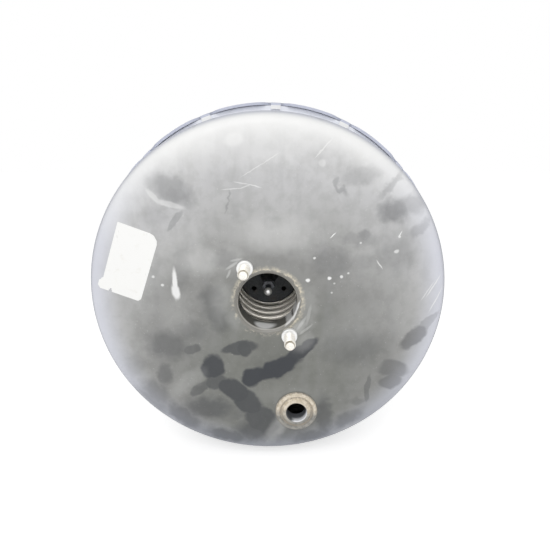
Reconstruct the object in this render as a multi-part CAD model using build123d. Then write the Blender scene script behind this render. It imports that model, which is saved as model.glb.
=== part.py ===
from build123d import *
from math import cos, pi, radians, sin, tan
import os

# Single-diaphragm vacuum brake booster, 10 inch class. Millimetres.
# Origin: centre of the firewall mounting face. The push-rod axis is Y: the master cylinder bolts
# on at the front (-Y) and the pedal pulls on the clevis at the back (+Y). +Z is up.

# ---- driving dimensions -------------------------------------------------------------------
casing_depth = 100.0            # firewall face to master cylinder face
sheet = 1.8                     # casing steel
front_y = -casing_depth         # plane of the master cylinder face

face_flat_r = 44.0              # flat middle of the front shell
face_edge_r = 128.5             # where the face would meet the side wall
face_fall = 3.2                 # how far the face cone falls back to its edge
face_edge_radius = 9.0
wall_end_r = 131.3              # side wall radius at the flange
flange_y = -46.0                # front of the clamped flange
flange_r = 135.1
neck_bore_r = 21.2              # bore that the master cylinder nose enters
neck_length = 15.5
neck_mouth_radius = 2.8

rim_r = 137.2                   # outside of the rear shell's skirt
rim_front_y = -49.5             # front edge of the skirt between the folded tabs
rim_step_y = -38.0              # back of the step that clamps the diaphragm bead
tab_count = 16
tab_first_angle = 87.5          # degrees from +X towards +Z
tab_slot_width = 13.0
tab_width = 7.6
tab_slot_y = -44.6              # bottom of the slots beside each tab
tab_reach_r = 132.6             # how far a tab folds in over the flange

step_inner_r = 129.2            # inside of the step, where the dished back begins
dish_r = 126.4                  # the dish's wall leans in to here
dish_y = -24.0
pad_slope_r = 80.5              # foot of the slope round the pad
pad_slope_y = -7.0
pad_r = 76.0                    # flat firewall pad
rear_neck_r = 31.0
rear_neck_length = 22.0
neck_lip_r = 27.2               # lip turned in at the back of the neck
shaft_r = 24.5                  # outside of the valve body's guided tube
running_gap = 0.05              # radial clearance of everything that slides
neck_inner_r = rear_neck_r - sheet

stroke = 32.0                   # travel of the power piston
plunger_travel = 1.4            # travel of the control valve plunger
rod_tilt = 3.0                  # degrees that the input rod swings each way

front_stud_circle_r = 30.0
front_stud_angle = 121.6        # degrees from +X towards +Z; the second stud is opposite
front_stud_length = 18.2
stud_r = 4.0                    # M8
shank_r = 4.6                   # splined shank pressed into the steel
press_gap = 0.05                # radial gap round each shank
stud_head_height = 3.0
stud_chamfer = 0.9
front_head_r = 6.5
front_collar_r = 5.8            # shoulder that the master cylinder's flange seats on
front_collar_height = 2.4
collar_chamfer = 0.6
rear_head_r = 8.0
pad_stud_spacing_x = 80.0
pad_stud_spacing_z = 70.0
rear_stud_length = 22.0
brace_thickness = 3.0           # reinforcement plates behind both stud patterns

port_circle_r = 91.0            # vacuum port in the front face
port_angle = -76.2
port_hole_r = 7.5
grommet_r = 16.0
boss_r = 19.0
boss_height = 1.6
grommet_neck_r = 11.0             # hole in the shell that the grommet snaps into

spring_mean_r = 29.0
spring_wire = 4.2
spring_turns = 7.2
spring_front_y = -91.0
spring_rear_y = -20.2

hub_face_y = -30.0              # front of the valve body
hub_boss_r = 25.4
hub_flange_r = 36.0
plate_thickness = 1.4
plate_back_y = -12.3            # back of the diaphragm plate round the hub
shaft_end_y = 54.0              # back end of the valve body's tube

ball_y = 11.0                   # centre of the input rod's ball end
ball_r = 6.0
rod_r = 5.0                     # M10 input rod
pin_y = 122.0                   # clevis pin axis
pin_r = 4.05
fork_gap = 12.0
fork_ear = 5.0
fork_ear_r = 10.0
fork_root_y = 105.0             # front of the fork's block
fork_floor_y = 111.5            # floor of the fork's gap

key_front_y = 0.4               # stop key in the valve body
key_thickness = 3.0
key_half_width = 9.0
key_length = 34.2
key_foot_z = -27.2              # end that rests on the seal retainer
key_fork_r = 6.4                # gap that straddles the plunger


STANDING = (Align.CENTER, Align.CENTER, Align.MIN)


# ---- helpers ------------------------------------------------------------------------------
def turned(points):
    """Solid of revolution about Y from a closed outline of (radius, y) corners."""
    return revolve(make_face(Polyline(*points, close=True)), Axis.Y)


def directions(points):
    """Unit directions of an open outline's sides."""
    return [(Vector(*b) - Vector(*a)).normalized() for a, b in zip(points, points[1:])]


def sideways(points, distance):
    """Move an open outline to its left by a distance, keeping its corners mitred."""
    ways = directions(points)
    moved = []
    for corner, before, after in zip(points, ways[:1] + ways, ways + ways[-1:]):
        middle = (before + after).normalized()
        reach = distance / middle.dot(before)
        moved.append((corner[0] - middle.Y * reach, corner[1] + middle.X * reach))
    return moved


def rounded(points, radii, chord_turn=32.0):
    """Round the inner corners of an open outline, each bend drawn as a few equal chords."""
    ways = directions(points)
    result = [points[0]]
    for corner, radius, before, after in zip(points[1:], radii, ways, ways[1:]):
        turn = before.get_signed_angle(after, Vector(0, 0, 1))
        chords = max(1, round(abs(turn) / chord_turn))
        if radius == 0:
            result.append(corner)
            continue
        start = Vector(*corner) - before * (radius * tan(radians(abs(turn) / 2)))
        chord = 2 * radius * sin(radians(abs(turn) / chords / 2))
        result.append((start.X, start.Y))
        for index in range(chords):
            way = before.rotate(Axis.Z, turn * (index + 0.5) / chords)
            start += way * chord
            result.append((start.X, start.Y))
    return result + [points[-1]]


def sheet_face(points, radii, thickness):
    """Section of formed sheet: a (radius, y) outline with rounded bends, thickened to its left."""
    front = rounded(points, radii)
    back = sideways(front, thickness)
    return make_face(Polyline(*front, *reversed(back), close=True))


def pressed(points, radii, thickness):
    """Formed sheet turned about Y."""
    return revolve(sheet_face(points, radii, thickness), Axis.Y)


def rod(radius, start_y, end_y, x=0.0, z=0.0):
    """Plain cylinder along Y between two stations."""
    middle = Pos(x, (start_y + end_y) / 2, z) * Rot(90, 0, 0)
    return middle * Cylinder(radius, abs(end_y - start_y))


def on_circle(radius, angle):
    """X and Z of a point on a circle about the push-rod axis; the angle runs from +X to +Z."""
    return radius * cos(radians(angle)), radius * sin(radians(angle))


def front_stud_places():
    """X and Z of both master cylinder studs."""
    return [on_circle(front_stud_circle_r, front_stud_angle + half) for half in (0, 180)]


def rear_stud_places():
    """X and Z of the four firewall studs."""
    half_x = pad_stud_spacing_x / 2
    half_z = pad_stud_spacing_z / 2
    return [(x, z) for x in (-half_x, half_x) for z in (-half_z, half_z)]


def coil_spring(start_y, end_y, start_r, end_r, wire, turns, sides):
    """Compression spring along Y with a closed coil at each end, its wire a many-sided prism."""
    way = 1 if end_y > start_y else -1
    run = abs(end_y - start_y) - wire
    closed = 1.03 * wire
    pitch = (run - 2 * closed) / (turns - 2)
    points = []
    steps = round(turns * 8)
    for step in range(steps + 1):
        turn = turns * step / steps
        if turn < 1:
            along = closed * turn
        elif turn > turns - 1:
            along = run - closed * (turns - turn)
        else:
            along = closed + (turn - 1) * pitch
        radius = start_r + (end_r - start_r) * turn / turns
        angle = 2 * pi * turn
        points.append((radius * cos(angle), start_y + way * (wire / 2 + along), radius * sin(angle)))
    path = Spline(*points)
    section = Plane(origin=path @ 0, z_dir=path % 0) * RegularPolygon(wire / 2, sides)
    return sweep(section, path=path, is_frenet=True)


# ---- casing -------------------------------------------------------------------------------
def port_place():
    """Frame of the vacuum port: on the face cone, its Z along the port's outward axis."""
    x, z = on_circle(port_circle_r, port_angle)
    fall = face_fall * (port_circle_r - face_flat_r) / (face_edge_r - face_flat_r)
    return Location(Plane(origin=(x, front_y + fall, z), x_dir=(1, 0, 0), z_dir=(0, -1, 0)))


def make_front_shell():
    """Deep-drawn front half: neck, coned face, side wall and clamped flange."""
    outline = [
        (neck_bore_r, front_y + neck_length),
        (neck_bore_r, front_y),
        (face_flat_r, front_y),
        (face_edge_r, front_y + face_fall),
        (wall_end_r, flange_y),
        (flange_r, flange_y),
    ]
    bends = [neck_mouth_radius, 0, face_edge_radius, 0.8]
    shell = pressed(outline, bends, sheet)
    boss_slope = 2.0
    dome = Cone(boss_r + boss_slope + boss_height, boss_r, boss_height + boss_slope, align=STANDING)
    shell += port_place() * Pos(0, 0, -boss_slope) * dome
    hollow = Cone(boss_r + boss_slope, boss_r - sheet, boss_height + boss_slope, align=STANDING)
    shell -= port_place() * Pos(0, 0, -boss_slope - sheet) * hollow
    shell -= port_place() * Cylinder(grommet_neck_r, 12)
    for x, z in front_stud_places():
        shell -= rod(shank_r + press_gap, front_y - 1, front_y + 5, x, z)
    return shell


def make_rear_shell():
    """Rear half: skirt with folded tabs, clamping step, stepped cone, firewall pad and neck."""
    outline = [
        (rim_r, rim_front_y),
        (rim_r, rim_step_y),
        (step_inner_r, rim_step_y),
        (dish_r, dish_y),
        (pad_slope_r, pad_slope_y),
        (pad_r, 0),
        (rear_neck_r, 0),
        (rear_neck_r, rear_neck_length),
        (neck_lip_r, rear_neck_length),
    ]
    bends = [2.6, 0, 13.0, 0, 5.0, 2.6, 2.4]
    shell = pressed(outline, bends, sheet)
    slot_depth = tab_slot_y - rim_front_y + 1
    for index in range(tab_count):
        turn = Rot(0, -(tab_first_angle + index * 360 / tab_count), 0)
        slot = Box(6, slot_depth, tab_slot_width)
        shell -= turn * Pos(rim_r - 1, tab_slot_y - slot_depth / 2, 0) * slot
        shell += turn * make_tab()
    for x, z in rear_stud_places():
        shell -= rod(shank_r + press_gap, -5, 1, x, z)
    return shell


def make_tab():
    """One tab of the skirt, folded in over the front flange."""
    fold_y = flange_y - sheet
    outline = [(rim_r, tab_slot_y + 2), (rim_r, fold_y), (tab_reach_r, fold_y)]
    profile = sheet_face(outline, [2.0], -sheet)
    return extrude(profile, tab_width / 2, both=True)


def brace(outer, inner_r, places, front, back):
    """Reinforcement plate between two stations, holed for the shell's neck and its studs."""
    plate = Pos(0, back, 0) * Rot(90, 0, 0) * extrude(outer, back - front)
    plate -= rod(inner_r, front - 1, back + 1)
    for x, z in places:
        plate -= rod(shank_r + press_gap, front - 1, back + 1, x, z)
    return plate


def make_front_brace():
    """Round reinforcement plate inside the front face."""
    front = front_y + sheet
    return brace(Circle(42.0), neck_bore_r + 3.2, front_stud_places(), front, front + brace_thickness)


def make_rear_brace():
    """Rectangular reinforcement plate inside the firewall pad."""
    outer = RectangleRounded(106.0, 96.0, 15.0)
    return brace(outer, rear_neck_r + 3.8, rear_stud_places(), -sheet - brace_thickness, -sheet)


def make_stud(x, z, head_y, head_r, face_y, tip_y, collar_r, collar):
    """Pressed-in M8 stud: head inside, splined shank, shoulder on the face, chamfered tip."""
    out = 1 if tip_y > face_y else -1
    shoulder_y = face_y + out * collar
    outline = [
        (0, head_y),
        (head_r, head_y),
        (head_r, head_y + out * stud_head_height),
        (shank_r, head_y + out * stud_head_height),
        (shank_r, face_y),
    ]
    if collar > 0:
        outline += [
            (collar_r, face_y),
            (collar_r, shoulder_y - out * collar_chamfer),
            (collar_r - collar_chamfer, shoulder_y),
        ]
    outline += [
        (stud_r, shoulder_y),
        (stud_r, tip_y - out * stud_chamfer),
        (stud_r - stud_chamfer, tip_y),
        (0, tip_y),
    ]
    return Pos(x, 0, z) * turned(outline)


def make_front_studs():
    """The two studs that hold the master cylinder, its flange seated on their shoulders."""
    head_y = front_y + sheet + brace_thickness + stud_head_height
    tip_y = front_y - front_stud_length
    return [
        make_stud(
            x, z, head_y, front_head_r, front_y, tip_y, front_collar_r, front_collar_height
        )
        for x, z in front_stud_places()
    ]


def make_rear_studs():
    """The four studs that go through the firewall, with no shoulder on the pad."""
    head_y = -sheet - brace_thickness - stud_head_height
    return [
        make_stud(x, z, head_y, rear_head_r, 0, rear_stud_length, 0, 0)
        for x, z in rear_stud_places()
    ]


def make_spring_seat():
    """Channel ring over the stud heads, with a sleeve that centres it on the neck."""
    brace_back_y = front_y + sheet + brace_thickness
    outline = [
        (24.6, spring_front_y + 5.0),
        (24.6, spring_front_y),
        (39.4, spring_front_y),
        (39.4, brace_back_y),
    ]
    return pressed(outline, [0.5, 1.6], -1.2)


def make_grommet():
    """Rubber grommet of the vacuum port, snapped into the shell."""
    groove = sheet + 0.1
    outline = [
        (port_hole_r, 3.2),
        (port_hole_r + 1.2, 4.2),
        (grommet_r - 1.5, 4.2),
        (grommet_r, 2.6),
        (grommet_r, 0.0),
        (grommet_neck_r - 0.05, 0.0),
        (grommet_neck_r - 0.05, -groove),
        (13.6, -groove),
        (13.6, -groove - 1.6),
        (10.6, -groove - 5.0),
        (port_hole_r, -groove - 5.0),
    ]
    ring = revolve(Plane.XZ * make_face(Polyline(*outline, close=True)), Axis.Z)
    return port_place() * Pos(0, 0, boss_height) * ring


def make_shaft_seal():
    """Lipped rubber seal between the rear neck and the sliding valve body."""
    lip_r = shaft_r + running_gap
    outline = [
        (neck_inner_r, 5.6),
        (neck_inner_r, 15.8),
        (lip_r, 15.8),
        (lip_r, 13.8),
        (lip_r + 2.2, 12.0),
        (lip_r + 2.2, 9.4),
        (lip_r, 7.6),
        (lip_r, 5.6),
    ]
    return turned(outline)


def make_neck_bush():
    """Nylon bush at the back of the neck that guides the valve body."""
    back_y = rear_neck_length - sheet
    lip_r = shaft_r + running_gap
    outline = [
        (lip_r, 15.9),
        (neck_inner_r, 15.9),
        (neck_inner_r, back_y - 1.2),
        (neck_inner_r - 1.2, back_y),
        (lip_r, back_y),
    ]
    return turned(outline)


def make_seal_retainer():
    """Pressed ring that holds the seal in the neck and stops the key at rest."""
    outline = [(25.3, 3.5), (neck_inner_r, 3.5), (neck_inner_r, 5.5), (25.3, 5.5)]
    return turned(outline)


def make_dust_boot():
    """Rubber bellows from the rear neck to the input rod, with breather holes at its back."""
    outline = [(33.2, 8.0), (33.2, 22.6)]
    folds = 5
    first_y = 26.0
    fold_length = 9.6
    for fold in range(folds):
        start = first_y + fold * fold_length
        narrowing = fold * 0.9
        outline.append((36.0 - narrowing, start))
        outline.append((29.2 - narrowing, start + fold_length / 2))
    outline += [(31.0, first_y + folds * fold_length - 0.4), (7.4, 77.5), (7.4, 85.0)]
    boot = pressed(outline, [0] * (len(outline) - 2), 1.5)
    bead = turned([(33.1, 8.0), (33.1, 11.0), (34.6, 10.6), (34.6, 8.4)])
    boot += bead
    breathers = 6
    for index in range(breathers):
        x, z = on_circle(14.0, index * 360 / breathers)
        boot -= rod(1.6, 68, 82, x, z)
    return boot


def make_diaphragm():
    """Rolling rubber diaphragm: bead in the valve body, disc, rolled edge and clamped rim bead."""
    back_y = plate_back_y + 2.3
    outline = [
        (29.5, back_y),
        (68.6, back_y),
        (113.4, -25.4),
        (122.3, -27.8),
        (122.3, -53.6),
        (125.4, -53.6),
        (125.4, -40.2),
        (134.2, -40.2),
    ]
    skin = pressed(outline, [0, 0, 4.0, 1.5, 1.5, 0], -2.0)
    rim_bead = turned([(129.6, -44.15), (134.2, -44.15), (134.2, -39.85), (129.6, -39.85)])
    hub_bead = turned([(23.2, -11.9), (30.0, -11.9), (30.0, -7.2), (23.2, -7.2)])
    return skin + rim_bead + hub_bead


def make_return_spring():
    """Main return spring between the front seat and the valve body."""
    return coil_spring(
        spring_front_y, spring_rear_y, spring_mean_r, spring_mean_r, spring_wire, spring_turns, 6
    )


# ---- power piston -------------------------------------------------------------------------
def make_diaphragm_plate():
    """Steel plate that carries the diaphragm, dished to follow the rear shell."""
    outline = [
        (shaft_r + 0.1, plate_back_y),
        (68.0, plate_back_y),
        (113.0, -27.7),
        (120.0, -29.6),
        (120.0, -42.0),
    ]
    return pressed(outline, [0, 0, 4.0], -plate_thickness)


def make_valve_body():
    """Moulded hub: front boss, flange, guided tube, stepped valve bores, ports and key slot."""
    flange_back_y = plate_back_y - plate_thickness
    outline = [
        (12.6, hub_face_y),
        (hub_boss_r - 1.0, hub_face_y),
        (hub_boss_r, hub_face_y + 1.0),
        (hub_boss_r, -19.0),
        (hub_flange_r, -19.0),
        (hub_flange_r, flange_back_y),
        (shaft_r, flange_back_y),
        (shaft_r, -12.0),
        (23.1, -12.0),
        (23.1, -7.1),
        (shaft_r, -7.1),
        (shaft_r, shaft_end_y),
        (20.6, shaft_end_y),
        (20.6, 9.0),
        (16.4, 9.0),
        (15.8, 15.9),
        (14.6, 15.9),
        (14.0, 9.0),
        (9.6, 9.0),
        (9.6, -9.6),
        (7.1, -9.6),
        (7.1, -19.0),
        (12.6, -19.0),
    ]
    body = turned(outline)
    ports = 4
    for index in range(ports):
        x, z = on_circle(18.4, 45 + index * 360 / ports)
        body -= rod(2.0, hub_face_y - 1, 10, x, z)
    ribs = 8
    for index in range(ribs):
        rib = Pos((hub_boss_r + hub_flange_r) / 2 + 1.0, -16.0, 0) * Box(10, 3.0, 2.4)
        body += Rot(0, index * 360 / ribs, 0) * rib
    key_room = Box(2 * key_half_width + 0.2, key_thickness + 0.2, 40)
    body -= Pos(0, key_front_y + key_thickness / 2, -12) * key_room
    return body


def make_reaction_disc():
    """Rubber disc that feeds the braking force back to the plunger."""
    return rod(12.5, -25.0, -19.0)


def make_output_rod():
    """Push rod to the master cylinder, with its mushroom head on the reaction disc."""
    outline = [
        (0, -25.0),
        (12.4, -25.0),
        (12.4, hub_face_y),
        (7.6, hub_face_y),
        (5.4, -36.0),
        (5.0, -60.0),
        (3.1, -60.0),
        (3.1, -45.0),
        (0, -45.0),
    ]
    return turned(outline)


def make_output_rod_adjuster():
    """Screw in the output rod: shank, hexagon and ball tip that meets the master cylinder."""
    shank = rod(3.0, -46.0, -62.0)
    hexagon = Pos(0, -60.1, 0) * Rot(90, 0, 0) * extrude(RegularPolygon(4.5, 6, major_radius=False), 5.0)
    stem = rod(2.4, -64.0, -76.0)
    tip = Pos(0, -76.0, 0) * Sphere(3.0)
    return shank + hexagon + stem + tip


def make_output_rod_retainer():
    """Pressed cup that holds the output rod in the hub and seats the return spring."""
    cup_r = hub_boss_r + 0.1
    outline = [
        (8.0, hub_face_y - 1.0),
        (cup_r + 1.0, hub_face_y - 1.0),
        (cup_r + 1.0, spring_rear_y),
        (34.5, spring_rear_y),
    ]
    cup = pressed(outline, [1.4, 0], 1.0)
    ports = 4
    for index in range(ports):
        x, z = on_circle(18.4, 45 + index * 360 / ports)
        cup -= rod(2.2, hub_face_y - 3, hub_face_y + 1, x, z)
    return cup


def make_stop_key():
    """Forked key that limits the plunger in the valve body and rests on the seal retainer."""
    outer = Rectangle(2 * key_half_width, key_length, align=(Align.CENTER, Align.MIN))
    blank = Pos(0, key_foot_z) * outer
    fork = Circle(key_fork_r)
    fork += Rectangle(2 * key_fork_r, key_length, align=(Align.CENTER, Align.MIN))
    blade = blank - fork
    return Pos(0, key_front_y + key_thickness, 0) * Rot(90, 0, 0) * extrude(blade, key_thickness)


def make_poppet_valve():
    """Rubber control valve: sealing disc, folding sleeve and the bead that anchors it."""
    outline = [
        (8.0, 16.3),
        (18.6, 16.3),
        (18.6, 18.6),
        (15.0, 18.6),
        (15.0, 20.0),
        (17.6, 23.0),
        (17.6, 25.6),
        (20.4, 25.6),
        (20.4, 28.9),
        (16.0, 28.9),
        (16.0, 23.4),
        (13.4, 20.6),
        (13.4, 18.6),
        (8.0, 18.6),
    ]
    return turned(outline)


def make_poppet_spring():
    """Light spring that closes the poppet."""
    return coil_spring(18.7, 28.9, 11.0, 11.0, 1.1, 4.0, 5)


def make_poppet_retainer():
    """Cup pressed into the tube to hold the poppet and seat the input rod's spring."""
    outline = [(9.6, 29.1), (20.5, 29.1), (20.5, 34.0)]
    return pressed(outline, [0], 1.1)


def make_input_return_spring():
    """Conical spring that pushes the input rod back."""
    return coil_spring(30.3, 43.8, 15.0, 7.4, 1.7, 4.4, 5)


def make_air_silencer():
    """Coarse foam ring at the mouth of the valve body."""
    return turned([(8.8, 46.9), (20.5, 46.9), (20.5, 50.0), (8.8, 50.0)])


def make_air_filter():
    """Felt filter ring behind the silencer."""
    return turned([(8.8, 50.1), (20.5, 50.1), (20.5, 53.6), (8.8, 53.6)])


# ---- control plunger ----------------------------------------------------------------------
def make_valve_plunger():
    """Steel plunger: nose, key groove, air valve seat and the socket of the input rod's ball."""
    groove_front = key_front_y - 0.05
    groove_back = groove_front + key_thickness + plunger_travel + 0.1
    outline = [
        (0, -17.4),
        (6.4, -17.4),
        (7.05, -16.6),
        (7.05, -8.0),
        (9.55, -8.0),
        (9.55, groove_front),
        (6.0, groove_front),
        (6.0, groove_back),
        (9.55, groove_back),
        (9.55, 13.0),
        (12.5, 13.8),
        (12.5, 16.0),
        (7.0, 16.0),
        (5.0, 14.6),
        (6.25, 12.6),
        (6.25, 9.4),
        (3.8, 5.5),
        (0, 4.5),
    ]
    return turned(outline)


# ---- input rod ----------------------------------------------------------------------------
def make_input_rod():
    """Forged push rod: ball end, waist, spring collar and threaded tail."""
    outline = [
        (0, ball_y),
        (3.6, ball_y),
        (3.6, 17.6),
        (rod_r, 20.0),
        (rod_r, 44.0),
        (8.5, 44.0),
        (8.5, 45.6),
        (rod_r, 45.6),
        (rod_r, 110.2),
        (rod_r - 0.8, 111.0),
        (0, 111.0),
    ]
    return turned(outline) + Pos(0, ball_y, 0) * Sphere(ball_r)


def make_lock_nut():
    """M10 nut that locks the clevis on the rod."""
    blank = extrude(RegularPolygon(8.0, 6, major_radius=False), 6.0)
    blank -= Cylinder(rod_r + 0.05, 20)
    corner = turned([(0, 92.1), (8.3, 92.1), (9.3, 93.0), (9.3, 97.1), (8.3, 98.0), (0, 98.0)])
    return (Pos(0, 98.0, 0) * Rot(90, 0, 0) * blank) & corner


def make_clevis():
    """Forked clevis: threaded boss, two rounded ears and the pedal pin holes."""
    half_width = fork_gap / 2 + fork_ear
    side = Pos(pin_y, 0) * Circle(fork_ear_r)
    side += Pos(pin_y, 0) * Rectangle(
        pin_y - fork_root_y, 2 * fork_ear_r, align=(Align.MAX, Align.CENTER)
    )
    clevis = extrude(Plane.YZ * side, half_width, both=True)
    clevis += turned([(0, 98.1), (8.2, 98.1), (9.0, 98.9), (9.0, fork_root_y + 1), (0, fork_root_y + 1)])
    gap_length = pin_y + fork_ear_r + 5 - fork_floor_y
    clevis -= Pos(0, fork_floor_y + gap_length / 2, 0) * Box(fork_gap, gap_length, 4 * fork_ear_r)
    clevis -= rod(rod_r + 0.05, 90, fork_floor_y + 1)
    clevis -= Pos(0, pin_y, 0) * Rot(0, 90, 0) * Cylinder(pin_r, 4 * half_width)
    return clevis


# ---- assembly -----------------------------------------------------------------------------
PARTS = {
    "front_shell": make_front_shell,
    "rear_shell": make_rear_shell,
    "front_reinforcement": make_front_brace,
    "rear_reinforcement": make_rear_brace,
    "master_cylinder_studs": make_front_studs,
    "firewall_studs": make_rear_studs,
    "spring_seat": make_spring_seat,
    "vacuum_grommet": make_grommet,
    "shaft_seal": make_shaft_seal,
    "neck_bush": make_neck_bush,
    "seal_retainer": make_seal_retainer,
    "dust_boot": make_dust_boot,
    "diaphragm": make_diaphragm,
    "return_spring": make_return_spring,
    "diaphragm_plate": make_diaphragm_plate,
    "valve_body": make_valve_body,
    "reaction_disc": make_reaction_disc,
    "output_rod": make_output_rod,
    "output_rod_adjuster": make_output_rod_adjuster,
    "output_rod_retainer": make_output_rod_retainer,
    "stop_key": make_stop_key,
    "poppet_valve": make_poppet_valve,
    "poppet_spring": make_poppet_spring,
    "poppet_retainer": make_poppet_retainer,
    "input_return_spring": make_input_return_spring,
    "air_silencer": make_air_silencer,
    "air_filter": make_air_filter,
    "valve_plunger": make_valve_plunger,
    "input_rod": make_input_rod,
    "lock_nut": make_lock_nut,
    "clevis": make_clevis,
}

os.makedirs("parts", exist_ok=True)
for node, make in PARTS.items():
    shape = make()
    solids = shape if isinstance(shape, list) else [shape]
    export_step(Compound(children=solids) if len(solids) > 1 else solids[0], f"parts/{node}.step")
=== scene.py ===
import math

import bmesh
import bpy
from bpy.props import FloatProperty, FloatVectorProperty, IntProperty, PointerProperty
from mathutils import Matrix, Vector


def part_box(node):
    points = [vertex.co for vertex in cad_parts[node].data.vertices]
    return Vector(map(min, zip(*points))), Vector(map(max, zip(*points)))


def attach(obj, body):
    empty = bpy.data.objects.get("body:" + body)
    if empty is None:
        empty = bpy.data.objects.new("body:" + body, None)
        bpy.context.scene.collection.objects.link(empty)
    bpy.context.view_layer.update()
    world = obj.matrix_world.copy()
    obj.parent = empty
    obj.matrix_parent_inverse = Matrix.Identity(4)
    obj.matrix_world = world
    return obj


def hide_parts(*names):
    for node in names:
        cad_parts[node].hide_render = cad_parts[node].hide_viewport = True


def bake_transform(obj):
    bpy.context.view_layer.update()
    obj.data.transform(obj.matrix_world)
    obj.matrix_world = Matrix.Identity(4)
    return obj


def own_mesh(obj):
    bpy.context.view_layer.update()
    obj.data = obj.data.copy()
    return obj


bl_info = {
    "name": "Vacuum Brake Booster",
    "version": (1, 0, 0),
    "blender": (4, 5, 0),
    "location": "3D View > Sidebar > Booster",
    "description": "Dresses the brake booster's frame with its finished pieces and materials",
    "category": "Object",
}

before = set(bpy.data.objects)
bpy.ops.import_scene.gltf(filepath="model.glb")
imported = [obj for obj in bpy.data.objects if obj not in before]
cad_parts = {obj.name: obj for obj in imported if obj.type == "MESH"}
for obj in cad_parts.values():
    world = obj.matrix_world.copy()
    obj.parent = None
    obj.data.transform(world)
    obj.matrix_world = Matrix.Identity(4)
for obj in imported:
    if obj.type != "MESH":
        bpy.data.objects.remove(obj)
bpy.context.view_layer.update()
MM = 0.001
MERGE_LIMIT = 2e-6  # metres between points that are merged
CRISP_ANGLE = 32  # degrees from which an edge is shaded crisp
BEVEL_ANGLE = 28  # degrees from which an edge is rounded
FLAT_ANGLE = 0.6  # degrees up to which neighbouring faces are one flat face


# ---- colours and sizes ----------------------------------------------------------------------
def tint(code):
    """Linear colour of an sRGB hex code."""
    parts = [int(code[i : i + 2], 16) / 255 for i in (1, 3, 5)]
    return [c / 12.92 if c <= 0.04045 else ((c + 0.055) / 1.055) ** 2.4 for c in parts]


def colour_choice(name, description, code):
    """Property for a colour that a user may change."""
    return FloatVectorProperty(
        name=name, description=description, default=tint(code), size=3, min=0, max=1, subtype="COLOR"
    )


def length_choice(name, description, millimetres):
    """Property for a length that a user may change."""
    return FloatProperty(
        name=name, description=description, default=millimetres * MM, unit="LENGTH", subtype="DISTANCE"
    )


class BoosterSizes(bpy.types.PropertyGroup):
    """Sizes of the finished pieces"""

    sheet: length_choice("Sheet", "Thickness of the casing steel", 1.8)
    boot_wall: length_choice("Boot wall", "Thickness of the dust boot's rubber", 1.5)
    spring_wire: length_choice("Spring wire", "Diameter of the return spring's wire", 4.2)
    spring_mean_r: length_choice("Spring radius", "Mean radius of the return spring", 29.0)
    stud_pitch: length_choice("Stud pitch", "Thread pitch of the M8 studs", 1.25)
    rod_pitch: length_choice("Rod pitch", "Thread pitch of the M10 push rod", 1.5)
    label_lift: length_choice("Label lift", "Height of the label's face over the paint", 0.15)
    round_steps: IntProperty(
        name="Round steps", description="Sides of a full turn on the large pressings", default=256, min=48
    )


class BoosterColours(bpy.types.PropertyGroup):
    """Colours of the finishes"""

    enamel: colour_choice("Enamel", "Black chassis enamel where it is clean", "#272b32")
    # The film's pale colour also paints highlights; the edge, flange, rim and settled dust colours also
    # carry painted light from above and a painted sky reflection.
    film: colour_choice("Film", "Pale film of dried dirt on the enamel", "#f4f4f3")
    edge_dust_and_sky_sheen: colour_choice("Edge dust", "Bluish dust towards the rolled edge", "#dadce6")
    flange_dust_and_painted_light: colour_choice("Flange dust", "Pale dust lying on the flange inside the rim", "#eceef4")
    rim_dust_and_sky_sheen: colour_choice("Rim dust", "Bluish dust on the front edge of the rim", "#c6cad9")
    settled_dust_and_top_light: colour_choice("Settled dust", "Dust that has settled on upward faces", "#bcbfc9")
    dry_dirt: colour_choice("Dry dirt", "Cream dirt packed round the bore", "#d8cfbb")
    zinc: colour_choice("Zinc", "Passivated zinc plate", "#e6e1d6")
    wire: colour_choice("Spring wire", "Oiled drawn wire", "#fbf6ea")
    bare: colour_choice("Bare steel", "Ground steel", "#b4b5b6")
    rubber: colour_choice("Rubber", "Black rubber", "#232425")
    grommet: colour_choice("Grommet", "Rubber of the grommet, grey with age", "#878682")
    phenolic: colour_choice("Phenolic", "Moulded valve body", "#2b2826")
    nylon: colour_choice("Nylon", "Guide bush", "#d9d6cb")
    label: colour_choice("Label", "Blank paper label", "#f7f7f5")


class BoosterStage(bpy.types.PropertyGroup):
    """Light and camera"""

    world_strength: FloatProperty(
        name="World", description="Strength of the even light", default=0.5, min=0
    )
    key_power: FloatProperty(
        name="Key", description="Power of the large lamp high in front", default=7.5, min=0, unit="POWER"
    )
    fill_power: FloatProperty(
        name="Fill", description="Power of the lamp low in front", default=1.6, min=0, unit="POWER"
    )
    lens: FloatProperty(
        name="Lens", description="Focal length of the camera in millimetres", default=28.15, min=1
    )


def sizes():
    """The sizes set in the sidebar."""
    return bpy.context.scene.booster_sizes


def colours():
    """The colours set in the sidebar."""
    return bpy.context.scene.booster_colours


# ---- modelling ------------------------------------------------------------------------------
def clear_selection():
    """Leave edit mode and select nothing."""
    if bpy.context.object and bpy.context.object.mode != "OBJECT":
        bpy.ops.object.mode_set(mode="OBJECT")
    bpy.ops.object.select_all(action="DESELECT")


def make_active(piece):
    """Select one object alone."""
    clear_selection()
    piece.select_set(True)
    bpy.context.view_layer.objects.active = piece


def open_mesh(piece):
    """Enter edit mode with one object alone and all of its mesh selected."""
    make_active(piece)
    bpy.ops.object.mode_set(mode="EDIT")
    bpy.ops.mesh.select_all(action="SELECT")


def merge_all():
    """Merge doubles in edit mode, with everything selected."""
    bpy.ops.mesh.select_all(action="SELECT")
    bpy.ops.mesh.remove_doubles(threshold=MERGE_LIMIT)


def close_up():
    """Merge doubles and face outwards in edit mode, then return to object mode."""
    merge_all()
    bpy.ops.mesh.normals_make_consistent(inside=False)
    bpy.ops.object.mode_set(mode="OBJECT")


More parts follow.
